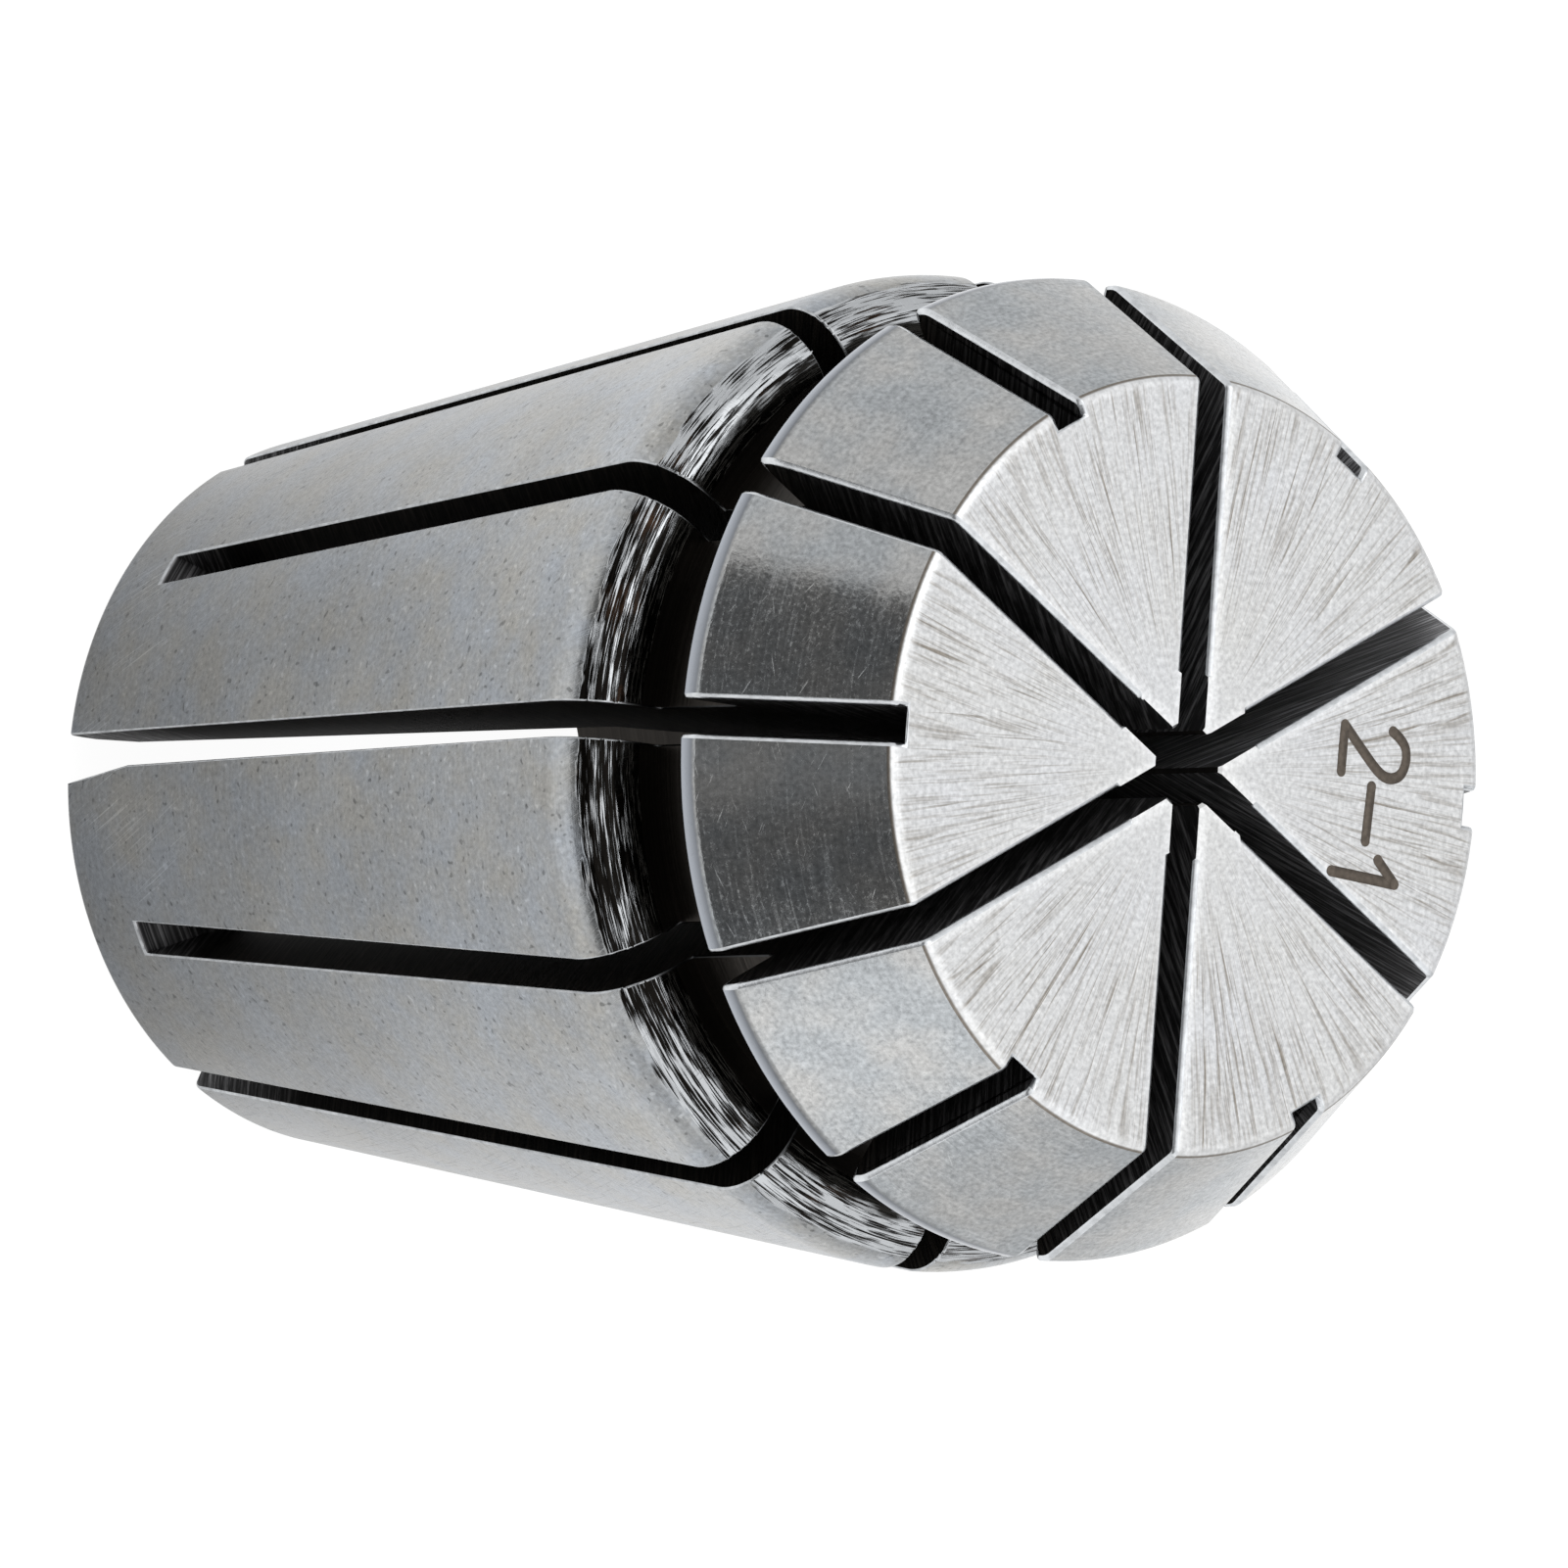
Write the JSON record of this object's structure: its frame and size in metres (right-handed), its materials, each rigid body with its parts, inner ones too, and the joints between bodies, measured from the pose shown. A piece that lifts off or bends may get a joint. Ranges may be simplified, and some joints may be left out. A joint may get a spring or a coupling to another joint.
{
  "type": "er collet",
  "caption": "Slit spring collet with a tapered body, a nut groove and a conical front, for gripping a small round shank.",
  "frame": {"origin": "centre of the small rear face, on the collet's axis, where it stands", "axes": "+Z along the collet's axis, from the rear face to the front face that the nut surrounds"},
  "size_m": [0.0256, 0.0256, 0.034],
  "materials": {
    "ground_steel": "ground and lightly worn"
  },
  "bodies": {
    "root": {"collet_body": "ground_steel"}
  },
  "joints": []
}
